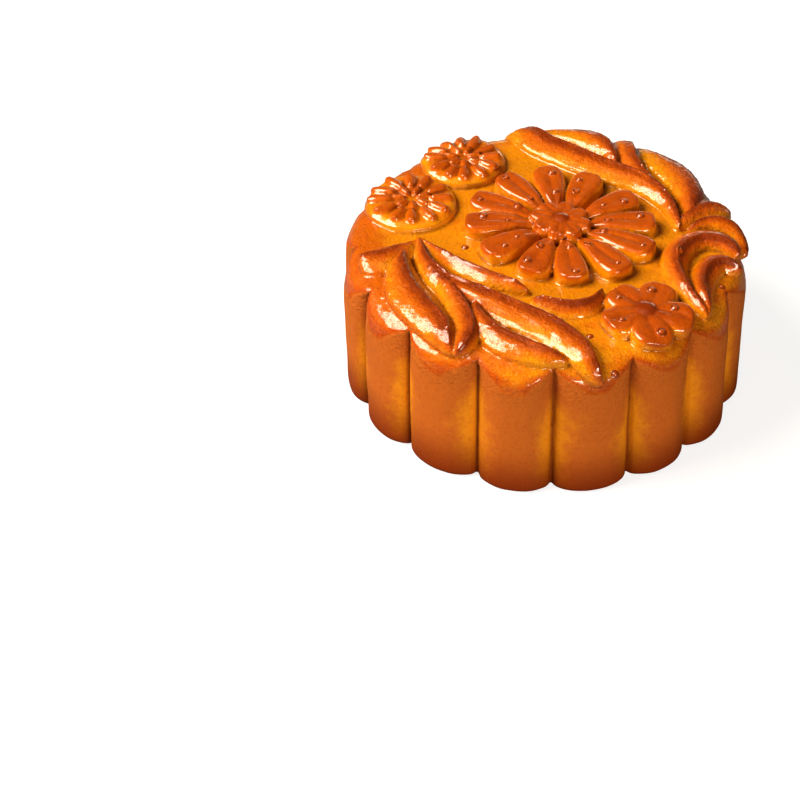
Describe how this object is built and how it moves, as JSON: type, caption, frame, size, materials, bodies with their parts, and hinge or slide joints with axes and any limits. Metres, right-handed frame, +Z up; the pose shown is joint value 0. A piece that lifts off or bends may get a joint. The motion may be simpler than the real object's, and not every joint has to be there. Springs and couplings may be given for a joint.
{
  "type": "mooncake",
  "caption": "Whole round baked mooncake with a fluted wall, a rounded shoulder and a crown of moulded leaves, crescents and blossoms.",
  "frame": {"origin": "centre of the flat base, on the surface the cake rests on", "axes": "+Z up along the cake's axis; +X to the right and +Y away from the reader when the crown's long leaves lie level"},
  "size_m": [0.08, 0.08, 0.0334],
  "materials": {
    "baked_crust": "golden brown baked pastry crust with an egg glaze on its crown"
  },
  "bodies": {
    "root": {"mooncake": "baked_crust"}
  },
  "joints": []
}
